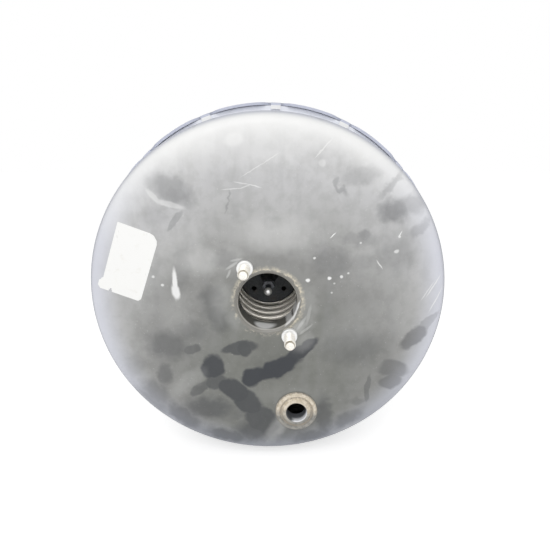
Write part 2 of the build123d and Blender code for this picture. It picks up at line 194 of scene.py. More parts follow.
def pick(test, kind="VERT"):
    """In edit mode, select the elements whose centre passes a test, of which there has to be one."""
    bpy.ops.mesh.select_mode(type=kind)
    bpy.ops.mesh.select_all(action="DESELECT")
    mesh = bmesh.from_edit_mesh(bpy.context.object.data)
    elements, centre = {
        "VERT": (mesh.verts, lambda vertex: vertex.co),
        "EDGE": (mesh.edges, lambda edge: (edge.verts[0].co + edge.verts[1].co) / 2),
        "FACE": (mesh.faces, lambda face: face.calc_center_median()),
    }[kind]
    chosen = [element for element in elements if test(centre(element))]
    for element in chosen:
        element.select = True
    mesh.select_flush_mode()
    bmesh.update_edit_mesh(bpy.context.object.data)
    if not chosen:
        raise RuntimeError(f"nothing to select on {bpy.context.object.name}")


def remove_faces(test):
    """In edit mode, delete the faces whose centre passes a test."""
    pick(test, "FACE")
    bpy.ops.mesh.delete(type="FACE")


def rounded(points, radii, step=9.0):
    """Corners of an open outline turned to true arcs, one point about every step degrees."""
    path = [Vector(points[0])]
    for before, corner, after, radius in zip(points, points[1:], points[2:], radii):
        corner = Vector(corner)
        into = (corner - Vector(before)).normalized()
        out = (Vector(after) - corner).normalized()
        turn = math.acos(max(-1, min(1, into.dot(out))))
        if radius == 0 or turn < 0.01:
            path.append(corner)
            continue
        reach = radius * math.tan(turn / 2)
        centre = corner + (out - into).normalized() * radius / math.cos(turn / 2)
        first = corner - into * reach - centre
        last = corner + out * reach - centre
        count = max(2, round(math.degrees(turn) / step))
        for index in range(count + 1):
            share = index / count
            way = first * math.sin((1 - share) * turn) + last * math.sin(share * turn)
            path.append(centre + way / math.sin(turn))
    return path + [Vector(points[-1])]


def split_long(path, longest):
    """Points added along an outline so that no run is longer than this."""
    result = [Vector(path[0])]
    for before, after in zip(path, path[1:]):
        run = Vector(after) - Vector(before)
        count = max(1, math.ceil(run.length / longest))
        result += [Vector(before) + run * (index + 1) / count for index in range(count)]
    return result


def walled(path, thickness):
    """Closed outline of a wall whose one side is the path and whose other side is to its left."""
    ways = [(Vector(b) - Vector(a)).normalized() for a, b in zip(path, path[1:])]
    other = []
    for point, before, after in zip(path, ways[:1] + ways, ways + ways[-1:]):
        middle = (before + after).normalized()
        other.append(Vector(point) + Vector((-middle.y, middle.x)) * thickness / middle.dot(before))
    return [Vector(p) for p in path] + other[::-1] + [Vector(path[0])]


def on_radius(point):
    """Place in space of an outline's (radius, y) point in millimetres."""
    return Vector((point[0], point[1], 0)) * MM


def drawn_line(name, path):
    """New object with a line through (radius, y) points in millimetres, left in edit mode."""
    clear_selection()
    bpy.ops.mesh.primitive_plane_add(size=MM)
    piece = bpy.context.object
    piece.name = piece.data.name = name
    bpy.ops.object.mode_set(mode="EDIT")
    bpy.ops.mesh.select_mode(type="VERT")
    bpy.ops.mesh.select_all(action="SELECT")
    bpy.ops.mesh.merge(type="CENTER")
    bpy.ops.transform.translate(value=on_radius(path[0]))
    for before, after in zip(path, path[1:]):
        bpy.ops.mesh.extrude_vertices_move(
            TRANSFORM_OT_translate={"value": on_radius(after) - on_radius(before)}
        )
    return piece


def turned(name, path, steps):
    """Solid or sheet turned about the push-rod axis from a drawn line."""
    piece = drawn_line(name, path)
    bpy.ops.mesh.select_all(action="SELECT")
    bpy.ops.mesh.spin(steps=steps, angle=2 * math.pi, center=(0, 0, 0), axis=(0, 1, 0))
    close_up()
    return piece


def applied(piece, kind, **settings):
    """Add a modifier with its settings and apply it."""
    make_active(piece)
    bpy.ops.object.modifier_add(type=kind)
    modifier = piece.modifiers[-1]
    for name, value in settings.items():
        setattr(modifier, name, value)
    bpy.ops.object.modifier_apply(modifier=modifier.name)


def placed(piece, shift=(0, 0, 0), turn=(0, 0, 0)):
    """Turn and move a piece, and put the change in its mesh."""
    make_active(piece)
    piece.rotation_euler = [math.radians(angle) for angle in turn]
    piece.location = Vector(shift) * MM
    bpy.ops.object.transform_apply(location=True, rotation=True, scale=True)


def joined(name, *parts):
    """Several objects joined as one."""
    clear_selection()
    for part in parts:
        part.select_set(True)
    bpy.context.view_layer.objects.active = parts[0]
    bpy.ops.object.join()
    parts[0].name = parts[0].data.name = name
    return parts[0]


def copied(piece, name, shift=(0, 0, 0), turn=(0, 0, 0)):
    """Copy with its own mesh at another place."""
    make_active(piece)
    bpy.ops.object.duplicate(linked=False)
    copy = bpy.context.object
    copy.name = copy.data.name = name
    placed(copy, shift, turn)
    return copy


def finished(piece, body, material, slot, *nodes):
    """Smooth a piece, paint it, hang it on its body's empty if it has one, and hide the carried-over parts
    it stands for.
    """
    make_active(piece)
    bpy.ops.object.shade_smooth_by_angle(angle=math.radians(CRISP_ANGLE))
    piece.data.materials.clear()
    piece.data.materials.append(material)
    if body:
        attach(piece, body)
    if nodes:
        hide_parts(*nodes)


def helix(name, profile, pitch, turns, steps=24):
    """Closed (radius, y) profile screwed round the push-rod axis, its ends open."""
    piece = drawn_line(name, profile + [profile[0]])
    merge_all()
    bpy.ops.object.mode_set(mode="OBJECT")
    applied(
        piece, "SCREW", axis="Y", angle=2 * math.pi * turns, screw_offset=pitch * turns * MM,
        steps=round(steps * turns), render_steps=round(steps * turns), iterations=1,
    )
    return piece


def capped(piece):
    """Close the open ends of a screwed shape."""
    open_mesh(piece)
    merge_all()
    bpy.ops.mesh.fill_holes(sides=0)
    close_up()


def thread(name, major_r, minor_r, pitch, start_y, length):
    """Raised ridge of a screw thread, sunk a little into its core."""
    turns = length / pitch - 1
    half = pitch / 2 - 0.02
    crest = pitch / 16
    sunk_r = minor_r - 0.08
    ridge = [(sunk_r, -half), (major_r, -crest), (major_r, crest), (sunk_r, half)]
    piece = helix(name, [(r, start_y + pitch / 2 + y) for r, y in ridge], pitch, turns)
    capped(piece)
    return piece


def on_circle(radius, angle):
    """(x, z) on a circle, the angle in degrees from +X towards +Z."""
    return radius * math.cos(math.radians(angle)), radius * math.sin(math.radians(angle))


def softened(name, node, bevel):
    """Copy of a carried-over solid with its edges rounded."""
    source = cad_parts[node]
    clear_selection()
    piece = bpy.data.objects.new(name, source.data.copy())
    bpy.context.scene.collection.objects.link(piece)
    piece.data.transform(source.matrix_world)
    open_mesh(piece)
    merge_all()
    bpy.ops.mesh.customdata_custom_splitnormals_clear()
    bpy.ops.mesh.dissolve_limited(angle_limit=math.radians(FLAT_ANGLE))
    bpy.ops.object.mode_set(mode="OBJECT")
    applied(
        piece, "BEVEL", width=bevel * MM, segments=3, limit_method="ANGLE",
        angle_limit=math.radians(BEVEL_ANGLE), use_clamp_overlap=True, harden_normals=False,
    )
    return piece


# ---- materials ------------------------------------------------------------------------------
def add(tree, kind, inputs=(), out=0, stops=(), **settings):
    """Add a shader node, its kind without "ShaderNode", with its settings and links; gives an output.

    An input is a value or another node's output. A colour may leave out its alpha.
    """
    node = tree.nodes.new("ShaderNode" + kind)
    for name, value in settings.items():
        setattr(node, name, value)
    for name, value in dict(inputs).items():
        socket = node.inputs[name]
        if isinstance(value, bpy.types.NodeSocket):
            tree.links.new(value, socket)
        elif socket.type == "RGBA":
            socket.default_value = (*value[:3], 1)
        else:
            socket.default_value = value
    if stops:
        ramp = node.color_ramp.elements
        while len(ramp) < len(stops):
            ramp.new(0.5)
        for element, (place, value) in zip(ramp, stops):
            element.position = place
            element.color = (*value, 1)
    return node.outputs[out]


def new_material(name, **shader):
    """Empty material with a Principled shader; gives it, its node tree and the object place."""
    made = bpy.data.materials.new(name)
    made.use_nodes = True
    tree = made.node_tree
    for socket, value in shader.items():
        tree.nodes["Principled BSDF"].inputs[socket].default_value = value
    return made, tree, add(tree, "TexCoord", out="Object")


def painted(made, surface, height, strength, depth):
    """Give a material its colour and a fine relief pressed to this depth in millimetres."""
    tree = made.node_tree
    shader = tree.nodes["Principled BSDF"].inputs
    lifted = add(tree, "Bump", {"Height": height, "Strength": strength, "Distance": depth * MM})
    tree.links.new(surface, shader["Base Color"])
    tree.links.new(lifted, shader["Normal"])
    return made


def grain(tree, place, size, detail=3.0, roughness=0.5, stretch=(1, 1, 1), turn=(0, 0, 0)):
    """Noise whose blobs are about this many millimetres across."""
    moved = add(tree, "Mapping", {"Vector": place, "Scale": stretch, "Rotation": turn})
    return add(
        tree, "TexNoise",
        {"Vector": moved, "Scale": 1 / (size * MM), "Detail": detail, "Roughness": roughness}, "Fac",
    )


def mottled(tree, place, size, under, over, low=0.35, high=0.65, amount=1.0, **blobs):
    """One colour over another in soft blobs about this many millimetres across."""
    share = add(
        tree, "MapRange",
        {"Value": grain(tree, place, size, **blobs), "From Min": low, "From Max": high, "To Max": amount},
        interpolation_type="SMOOTHSTEP",
    )
    return add(tree, "Mix", {0: share, 6: under, 7: over}, 2, data_type="RGBA")


def within(tree, value, low, high, under, over):
    """One colour where a length in millimetres is below low, the other where it is above high."""
    share = add(
        tree, "MapRange", {"Value": value, "From Min": low * MM, "From Max": high * MM},
        interpolation_type="SMOOTHSTEP",
    )
    return add(tree, "Mix", {0: share, 6: under, 7: over}, 2, data_type="RGBA")


def away_from_axis(tree, place, x=0.0, z=0.0):
    """Distance of a point from a line along Y through x, z in millimetres."""
    moved = add(tree, "Mapping", {"Vector": place, "Location": (-x * MM, 0, -z * MM), "Scale": (1, 0, 1)})
    return add(tree, "VectorMath", {0: moved}, "Value", operation="LENGTH")


# Where handling and wiping have rubbed the film off the front pressing, down to the enamel:
# centre x, z, half length, half width in millimetres, turn in degrees, share of the film that is gone.
RUBBED_SPOTS = [
    (-21, -36, 14, 4.9, 9, 0.7), (-17, -37, 6, 5.7, 4, 0.75), (-41, -52, 10, 8.6, 88, 0.88),
    (-55, -37, 7, 4.3, 27, 0.46), (-11, -60, 10, 7.3, 40, 0.96), (7, -52, 19, 7.4, 26, 0.97),
    (24, -39, 16, 4.8, 38, 0.93), (-52, -70, 9, 4.4, 47, 0.5), (-39, -65, 10, 6.0, 5, 0.62),
    (-26, -72, 13, 8.6, -42, 0.82), (-16, -83, 14, 9.8, -51, 0.78), (-5, -99, 17, 11, -52, 0.7),
    (107, -29, 12, 6.1, 47, 0.46), (116, -18, 13, 3.6, 57, 0.24), (95, -54, 12, 7.5, -12, 0.38),
    (94, -65, 9, 6.5, 9, 0.4), (76.8, -70.9, 11.3, 2.3, -89, 0.36), (-62.6, 58.3, 8.8, 2.35, 51, 0.25),
]

# The same, where the film is only thinned and has no clear edge.
SMUDGES = [
    (-46, -88, 19, 9.5, 0, 0.56), (-9, -108, 17, 10.2, 9, 0.62), (43, -95, 18, 6.5, -87, 0.5),
    (-66, -96, 16, 7, -40, 0.48), (-32, -114, 17, 6, -12, 0.52), (-86, -74, 13, 8, -50, 0.34),
    (34, -114, 14, 5, 14, 0.45), (62, -98, 12, 6, 34, 0.4), (-24, -94, 9, 5, 30, 0.25),
    (70, -82, 8, 2.7, 3, 0.2), (-74, -34, 15, 11, -2, 0.42), (-71, -41, 9, 5.4, -18, 0.22),
    (-78, -59, 9, 5.3, 86, 0.4), (-100, -51, 9, 9, -21, 0.15), (-56, -23, 12, 8, 2, 0.24),
    (-40, 4, 8, 7.5, -21, 0.36), (-37, -11, 13, 7, -58, 0.36), (-29, 32, 8, 6, 4, 0.3),
    (-59, 26, 18, 5, 85, 0.18), (85, 65, 10, 8, 8, 0.45), (99, 70, 13, 7, 18, 0.28),
    (82.5, 82.2, 11, 2.4, 43, 0.25), (45.8, 83.9, 4, 1.9, -80, 0.28), (49.2, 79, 5, 1.9, -46, 0.3),
    (62, 88, 13, 6, 5, 0.22), (104, 53, 9, 3.6, 50, 0.24), (66, 48, 6, 3.4, 0, 0.3),
    (-64, 79, 15, 9, -28, 0.36), (-58, 76, 7, 6, -31, 0.25), (-76, 62, 11, 6, -4, 0.14),
    (3, 57, 6, 4.4, 0, 0.12), (-24.2, 74.7, 4.3, 0.8, 84, 0.25), (-26.5, 68.1, 3.5, 0.8, 59, 0.25),
    (45, 30, 14, 10, -16, 0.26), (64, 46, 12, 5, -2, 0.22), (68, 30, 9, 6, 0, 0.14),
    (90, 34, 14, 12, 0, 0.2), (62, -36, 22, 13, 0, 0.26), (5, -111, 27, 8, 0, 0.26),
    (-92, -84, 16, 8, -42, 0.3),
]

# Where the film lies thicker and has no clear edge.
THICKER_FILM = [
    (-33, 2, 15, 7, 88, 0.12), (29, -3, 16, 6, -85, 0.1), (-27, 31, 12, 8, 20, 0.14),
    (26, -31, 9, 6, 40, 0.14), (8, -105, 15, 6, 60, 0.2), (20, -76, 22, 9, 0, 0.05),
    (60, -20, 30, 14, 30, 0.06), (-10, 108, 40, 14, 4, 0.3), (-62, 44, 16, 7, 30, 0.1),
    (-66, -8, 14, 10, 70, 0.1), (-62, -66, 16, 6, 40, 0.12), (66, -112, 14, 8, 30, 0.15),
    (5, 50, 24, 11, 0, 0.22), (-46, 30, 15, 9, 0, 0.22), (23, -19, 6, 3.4, 50, 0.26),
    (-25, -13, 8, 5, -50, 0.1),
]

# Thicker crusts, dots and thin bright scratches in the film, and painted highlights (the glossy streak
# beside the label and the arcs inside the bore's right side), laid out in the same way.
BRIGHT_MARKS_AND_HIGHLIGHTS = [
    (-65.2, 13.9, 10.8, 1.7, 90, 0.9), (-65, 8, 5.5, 2.8, -80, 0.9), (-21, 111, 6, 4, 14, 0.35),
    (36.1, 96.3, 2.3, 2.3, 0, 0.3), (-76, 74.7, 6.5, 1.8, -47, 0.35), (-65.4, 69.5, 9.5, 1.9, -15, 0.35),
    (-80.3, 18.8, 1.1, 1.0, 0, 0.6), (-74.1, 12.9, 1.1, 1.0, 0, 0.7), (32.5, 32.9, 0.9, 0.8, 0, 0.7),
    (43.4, 18.2, 1.3, 1.2, 0, 0.95), (51.8, 19.2, 1.1, 1.0, 0, 0.75), (28.3, 16.7, 1.5, 1.3, 0, 0.95),
    (56.6, 21.7, 0.8, 0.7, 0, 0.6), (90.5, 47.4, 0.9, 0.8, 0, 0.7), (89.3, 37.1, 1.8, 1.2, 20, 0.6),
    (63.9, 43.2, 0.8, 0.7, 0, 0.6), (46.9, 14.4, 0.8, 0.7, 0, 0.5), (45.4, 7.6, 0.8, 0.7, 0, 0.5),
    (44.8, 48.6, 2.8, 0.4, 44, 0.9), (90.9, 48.9, 2.5, 0.4, 66, 0.75), (78.1, 27.7, 3.8, 0.45, -55, 0.6),
    (37.9, 107, 6.2, 0.36, 46, 0.5), (34.2, 102.5, 4.4, 0.3, 45, 0.45), (-16.7, 83.5, 5, 0.42, -9, 0.35),
    (-8.5, 81.8, 4.7, 0.42, -15, 0.45), (-23.1, 79.7, 6.6, 0.42, 4, 0.35),
    (-14.5, 81.2, 4.3, 0.42, 21, 0.35), (-9.4, 92, 8.8, 0.36, 31, 0.35), (2.3, 99.1, 6.5, 0.36, 32, 0.35),
    (118, 12, 9, 0.5, 62, 0.5), (121, 2, 10, 0.5, 66, 0.5), (114, 8, 8, 0.4, 60, 0.4),
    (20.6, -6, 7, 0.75, 72, 0.9), (16.2, -14.3, 5, 0.8, 48, 0.7), (24.5, -16, 6, 1.1, 58, 0.22),
    (27.5, -21, 6, 0.9, 40, 0.2), (-24.5, 27.5, 5, 0.9, 35, 0.28), (-21.5, 31.5, 4, 0.8, 12, 0.25),
    (-27, 21.5, 3.5, 0.8, 64, 0.25), (29.5, -9, 7, 1.2, 80, 0.14),
]


def marked(tree, place, size, reach, marks, soft):
    """Share of a point that lies in any ellipse of a list, their edges wandering by a reach in mm."""
    noise = add(tree, "TexNoise", {"Vector": place, "Scale": 1 / (size * MM), "Detail": 7.0}, "Color")
    push = add(tree, "VectorMath", {0: noise, 1: (0.5, 0.5, 0.5)}, operation="SUBTRACT")
    warped = add(
        tree, "VectorMath", {0: push, 1: (4 * reach * MM,) * 3, 2: place}, operation="MULTIPLY_ADD"
    )
    total = 0.0
    for index, (x, z, half_length, half_width, turn, share) in enumerate(marks):
        if index % 8 == 7:
            # A next to nothing push makes the later marks wait for these, or the shader runs out of room.
            warped = add(
                tree, "VectorMath", {0: total, 1: (1e-9,) * 3, 2: warped}, operation="MULTIPLY_ADD"
            )
        centred = add(
            tree, "Mapping",
            {"Vector": warped, "Location": (x * MM, 0, z * MM), "Rotation": (0, -math.radians(turn), 0),
             "Scale": (half_length * MM, 1000, half_width * MM)},
            vector_type="TEXTURE",
        )
        away = add(tree, "VectorMath", {0: centred}, "Value", operation="LENGTH")
        covered = add(
            tree, "MapRange",
            {"Value": away, "From Min": 1 + soft, "From Max": 1 - soft, "To Min": 0.0, "To Max": share},
            interpolation_type="SMOOTHSTEP",
        )
        total = add(tree, "Math", {0: covered, 1: total}, operation="MAXIMUM")
    return total


def front_enamel():
    """Black chassis enamel on pressed steel, under a film of dried dirt that handling has rubbed.

    The film and painted light from above make it palest high up and towards the edge, and darkest below the
    bore.
    """
    c = colours()
    made, tree, place = new_material("front_enamel_dirt_film_and_painted_light")
    shader = tree.nodes["Principled BSDF"].inputs
    at = add(tree, "SeparateXYZ", {0: place}).node.outputs
    out = away_from_axis(tree, place)
    # The film's tone, with painted light from above, follows the distance from a point under the bore,
    # wandering by 25 mm.
    darkest = (0.005, -0.1, -0.055)
    away = add(tree, "VectorMath", {0: place, 1: darkest}, "Value", operation="DISTANCE")
    wandering = add(tree, "Math", {0: grain(tree, place, 45), 1: 0.05, 2: away}, operation="MULTIPLY_ADD")
    level = add(tree, "MapRange", {"Value": wandering, "From Min": 0.025, "From Max": 0.225})
    film = add(
        tree, "ValToRGB", {"Fac": level}, stops=[
            (0.0, tint("#666763")), (0.12, tint("#7a7b76")), (0.27, tint("#7d7e7a")),
            (0.43, tint("#8e8e8c")), (0.55, tint("#a9a9a8")), (0.63, tint("#b5b5b5")),
            (0.73, tint("#c1c1c2")), (0.86, tint("#d2d2d2")), (1.0, tint("#ebebeb")),
        ],
    )
    # Cloudy patches about 9 mm across, specks about 1.3 mm, coarser than real dust so that they
    # show, and faint runs down the face.
    darker = add(
        tree, "Mix", {0: 1.0, 6: film, 7: tint("#cdcecb")}, 2, data_type="RGBA", blend_type="MULTIPLY"
    )
    film = mottled(tree, place, 9, film, darker, 0.4, 0.66, 0.3, detail=5, roughness=0.62)
    film = mottled(tree, place, 1.3, film, c.film, 0.66, 0.78, 0.18, detail=2)
    runs = {"stretch": (1, 1, 0.16), "turn": (0, 0.5, 0)}
    film = mottled(tree, place, 9, film, tint("#8b8c8d"), 0.45, 0.7, 0.16, **runs)
    # Towards the rolled edge the film turns to bluish dust with a painted sky reflection: white on the
    # upper half, lavender at the sides and painted darker below.
    dusty = within(tree, at["Z"], 30, 110, c.edge_dust_and_sky_sheen, c.film)
    edge_dust_sheen_and_shade = within(tree, at["Z"], -150, -20, tint("#878b95"), dusty)
    film = within(tree, out, 104, 131, film, edge_dust_sheen_and_shade)
    rubbed = add(
        tree, "Math",
        {0: marked(tree, place, 12, 2.2, RUBBED_SPOTS, 0.18), 1: marked(tree, place, 7, 2.8, SMUDGES, 0.5)},
        operation="MAXIMUM",
    )
    surface = add(tree, "Mix", {0: rubbed, 6: film, 7: c.enamel}, 2, data_type="RGBA")
    thicker = marked(tree, place, 9, 2.0, THICKER_FILM, 0.6)
    surface = add(tree, "Mix", {0: thicker, 6: surface, 7: c.film}, 2, data_type="RGBA")
    bright = marked(tree, place, 2.5, 0.25, BRIGHT_MARKS_AND_HIGHLIGHTS, 0.35)
    # Cream dirt packed against the rolled mouth of the bore, mostly at its upper right; a grey band over
    # the rolled mouth, a painted highlight on its inner lip, and the glossier enamel in the neck painted
    # darker as shade and dark reflection.
    ragged = add(tree, "Math", {0: grain(tree, place, 3), 1: 0.003, 2: out}, operation="MULTIPLY_ADD")
    packed = mottled(tree, place, 1.8, c.dry_dirt, surface, 0.35, 0.65, 0.75)
    upper_right = add(tree, "VectorMath", {0: place, 1: (0.55, 0, 0.83)}, "Value", operation="DOT_PRODUCT")
    faint = mottled(tree, place, 2.4, surface, packed, 0.45, 0.7, 0.7)
    packed = within(tree, upper_right, -22, 4, faint, packed)
    surface = within(tree, ragged, 25.6, 29.5, packed, surface)
    surface = within(tree, ragged, 25.2, 25.8, tint("#84827c"), surface)
    surface = within(tree, out, 21.5, 22.2, tint("#bdbbb4"), surface)
    surface = within(tree, out, 21.2, 21.4, tint("#6c6b66"), surface)
    # The neck's floor carries a painted highlight: a soft bright patch in the film's pale colour.
    neck_highlight_place = add(
        tree, "Mapping",
        {"Vector": place, "Location": (-0.0035, -0.0925, -0.0212), "Scale": (0.0115, 0.0068, 0.004)},
        vector_type="TEXTURE",
    )
    off_middle = add(tree, "VectorMath", {0: neck_highlight_place}, "Value", operation="LENGTH")
    gleam = add(
        tree, "MapRange", {"Value": off_middle, "From Min": 1.05, "From Max": 0.5},
        interpolation_type="SMOOTHSTEP",
    )
    bright = add(tree, "Math", {0: bright, 1: gleam}, operation="MAXIMUM")
    surface = add(tree, "Mix", {0: bright, 6: surface, 7: c.film}, 2, data_type="RGBA")
    # The wall behind the rolled edge is painted lighter on its upper side, dust and light from above
    # together, and shows dark enamel below; the flange's upper front is painted near white, dust and
    # painted light where the rim shades it.
    clean = mottled(tree, place, 12, c.enamel, tint("#44484d"), 0.3, 0.7, detail=5)
    wall = within(tree, at["Z"], -60, 125, clean, c.settled_dust_and_top_light)
    wall = mottled(tree, place, 5, wall, tint("#9a9ca0"), 0.55, 0.8, 0.4)
    wall = within(tree, at["Y"], -47.4, -47.0, wall, within(tree, at["Z"], 0, 60, wall, c.flange_dust_and_painted_light))
    surface = within(tree, at["Y"], -96, -91, surface, within(tree, out, 119, 122, surface, wall))
    rough = add(tree, "MapRange", {"Value": rubbed, "To Min": 0.45, "To Max": 0.3})
    tree.links.new(within(tree, out, 21.4, 24.5, (0.16, 0.16, 0.16), rough), shader["Roughness"])
    dents = add(
        tree, "Math", {0: grain(tree, place, 0.8, 2), 1: 0.02, 2: grain(tree, place, 30, 2)},
        operation="MULTIPLY_ADD",
    )
    return painted(made, surface, dents, 0.5, 0.5)


def rear_enamel():
    """The same enamel on the rear pressing, dull, with dust and painted light from above on faces turned
    upwards.
    """
    c = colours()
    made, tree, place = new_material("rear_enamel_dust_and_painted_light", Roughness=0.45)
    at = add(tree, "SeparateXYZ", {0: place}).node.outputs
    enamel = mottled(tree, place, 14, c.enamel, tint("#3f4348"), 0.3, 0.7, detail=5, roughness=0.6)
    enamel = mottled(tree, place, 1.1, enamel, tint("#85878a"), 0.62, 0.78, 0.2)
    upward = add(tree, "SeparateXYZ", {0: add(tree, "TexCoord", out="Normal")}, "Z")
    settled = add(
        tree, "MapRange", {"Value": upward, "From Min": 0.05, "From Max": 0.6},
        interpolation_type="SMOOTHSTEP",
    )
    dust = mottled(tree, place, 5, c.settled_dust_and_top_light, tint("#c9cbd0"), 0.45, 0.7, 0.6)
    dusty = add(tree, "Mix", {0: settled, 6: enamel, 7: dust}, 2, data_type="RGBA")
    surface = within(tree, at["Z"], 0, 60, enamel, dusty)
    # On the upper rim the folded tabs and the flange behind them are painted palest and the lobes bluish:
    # dust with painted light and a painted sky reflection, in the corner of the rim.
    rim = within(tree, away_from_axis(tree, place), 135.0, 135.6, c.film, c.rim_dust_and_sky_sheen)
    upper_rim = within(tree, at["Z"], 0, 70, surface, rim)
    surface = within(tree, at["Y"], -45.5, -43, upper_rim, surface)
    return painted(made, surface, grain(tree, place, 0.8, 2), 0.12, 0.3)


def plated_steel(name, code, dirt_code, dirt_share, axes, root_r, base_y=None):
    """Zinc plate over steel: bright, mottled by its passivation and by dirt, with its thread roots painted
    darker.
    """
    made, tree, place = new_material(name, Metallic=0.35, Roughness=0.36)
    plate = mottled(tree, place, 1.6, code, [v * 0.84 for v in code[:3]], detail=4, roughness=0.6)
    surface = mottled(tree, place, 3.5, plate, dirt_code, 0.5, 0.68, dirt_share, detail=4, roughness=0.65)
    root = [v * 0.62 for v in dirt_code[:3]]
    for x, z in axes:
        out = away_from_axis(tree, place, x, z)
        threaded = within(tree, out, root_r, root_r + 0.45, root, surface)
        surface = within(tree, out, root_r - 0.5, root_r - 0.3, surface, threaded)
    if base_y is not None:
        along = add(tree, "SeparateXYZ", {0: place}, "Y")
        surface = within(tree, along, base_y - 1, base_y, surface, colours().film)
    return painted(made, surface, grain(tree, place, 0.5, 2), 0.15, 0.05)


def phosphated_steel():
    """Phosphated sheet steel: dark grey, dull and even, a little browner where oil has soaked in."""
    made, tree, place = new_material("phosphated_steel", Metallic=0.2, Roughness=0.55)
    coat = mottled(tree, place, 1.4, tint("#5c5f62"), tint("#6e7174"), 0.3, 0.7)
    surface = mottled(tree, place, 7, coat, tint("#6e655b"), 0.5, 0.75, 0.4)
    return painted(made, surface, grain(tree, place, 0.7, 2), 0.2, 0.05)


def drawn_wire():
    """Cold-drawn spring wire: fine lengthwise die marks, oiled, with cream dust where it is dry."""
    c = colours()
    made, tree, place = new_material("drawn_spring_wire", Metallic=0.2, Roughness=0.24)
    drawn = mottled(tree, place, 1.2, c.wire, tint("#ded7c9"), 0.5, 0.75, 0.7)
    surface = mottled(tree, place, 5, drawn, tint("#fffaf0"), 0.42, 0.62)
    return painted(made, surface, grain(tree, place, 0.6, 2), 0.2, 0.05)


def oiled_black_steel():
    """Output rod in oiled black oxide, its ball tip polished bright by the master cylinder's piston."""
    made, tree, place = new_material("oiled_black_oxide", Metallic=0.6, Roughness=0.3)
    tip_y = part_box("output_rod_adjuster")[0].y / MM
    black = mottled(tree, place, 1.2, tint("#3a3c3f"), tint("#54565a"), 0.4, 0.7)
    polished = mottled(tree, place, 0.8, tint("#e2e2e0"), tint("#c2c0ba"), 0.5, 0.7)
    along = add(tree, "SeparateXYZ", {0: place}, "Y")
    surface = within(tree, along, tip_y + 4.0, tip_y + 4.8, polished, black)
    return painted(made, surface, grain(tree, place, 0.6, 2), 0.15, 0.03)


def ground_steel():
    """Turned and ground steel, bare and lightly oiled, with turning marks round the push-rod axis."""
    c = colours()
    made, tree, place = new_material("ground_steel", Metallic=1.0, Roughness=0.28)
    turning = {"stretch": (0.05, 1, 0.05), "detail": 2}
    ground = mottled(tree, place, 0.4, c.bare, [v * 0.7 for v in c.bare], 0.3, 0.7, **turning)
    surface = mottled(tree, place, 6, ground, tint("#7a6a55"), 0.55, 0.75, 0.5)
    return painted(made, surface, grain(tree, place, 0.4, **turning), 0.15, 0.02)


def moulded_rubber():
    """Moulded rubber: matt, faintly orange-peeled, with pale bloom and dust on it."""
    c = colours()
    made, tree, place = new_material("moulded_black_rubber", Roughness=0.62)
    shade = mottled(tree, place, 18, c.rubber, [v * 1.5 for v in c.rubber], 0.3, 0.7)
    surface = mottled(tree, place, 5, shade, tint("#77736b"), 0.42, 0.7, 0.35, detail=4, roughness=0.6)
    return painted(made, surface, grain(tree, place, 0.9, 3), 0.25, 0.08)


def aged_grommet_rubber_and_painted_light():
    """Soft grommet rubber gone grey: tan dirt and painted light on its upper side, dust below, painted
    shade down its hole and a painted highlight at its lip.
    """
    c = colours()
    made, tree, place = new_material("aged_grommet_rubber_and_painted_light", Roughness=0.6)
    at = add(tree, "SeparateXYZ", {0: place}).node.outputs
    x, z = on_circle(PORT_CIRCLE_R, PORT_ANGLE)
    out = away_from_axis(tree, place, x, z)
    tan = mottled(tree, place, 2.4, tint("#c8bca7"), tint("#e6dccb"), 0.35, 0.65, detail=4)
    grey = mottled(tree, place, 3.0, c.grommet, tint("#a19e97"), detail=4)
    # The tan of dirt and painted light from above ends at a lower limit that wanders by 8 mm about a line
    # above the middle of the grommet.
    ragged = add(
        tree, "Math", {0: grain(tree, place, 5, 4), 1: 0.016, 2: at["Z"]}, operation="MULTIPLY_ADD"
    )
    surface = within(tree, ragged, z, z + 15, grey, tan)
    # Rings of bare rubber show in the groove between the two ridges and round the outer lip.
    worn = mottled(tree, place, 1.5, tint("#a0978a"), surface, 0.4, 0.7, 0.8)
    groove = within(tree, out, 11.0, 11.6, surface, within(tree, out, 12.2, 12.9, worn, surface))
    surface = within(tree, out, 15.2, 15.8, groove, worn)
    # A painted highlight on the hole's lower right side near its mouth, painted shade on its upper left,
    # and painted shade deeper down the hole.
    across, down = 0.64, -0.77
    lower_right = add(
        tree, "VectorMath", {0: place, 1: (across, 0, down)}, "Value", operation="DOT_PRODUCT"
    )
    middle = across * x + down * z
    lip_highlight_and_shade = within(tree, lower_right, middle + 2.0, middle + 5.5, tint("#5b5c5e"), tint("#e6e7ea"))
    hole = within(tree, at["Y"], -102.4, -98.6, lip_highlight_and_shade, tint("#5e6064"))
    surface = within(tree, out, 7.9, 8.3, hole, surface)
    return painted(made, surface, grain(tree, place, 0.9, 3), 0.35, 0.12)


def moulded_phenolic():
    """Filled phenolic: dark, hard and slightly glossy, flecked with paler filler."""
    c = colours()
    made, tree, place = new_material("moulded_phenolic", Roughness=0.4)
    fleck = mottled(tree, place, 0.7, c.phenolic, tint("#6b5a49"), 0.62, 0.72, 0.5)
    return painted(made, fleck, grain(tree, place, 1.0, 2), 0.1, 0.05)


def moulded_nylon():
    """Natural nylon: milky and satin, a little yellow where grease has soaked in."""
    c = colours()
    made, tree, place = new_material("moulded_nylon", Roughness=0.45)
    greased = mottled(tree, place, 6, c.nylon, tint("#b6a878"), 0.4, 0.7, 0.6)
    return painted(made, greased, grain(tree, place, 1.2, 2), 0.08, 0.03)


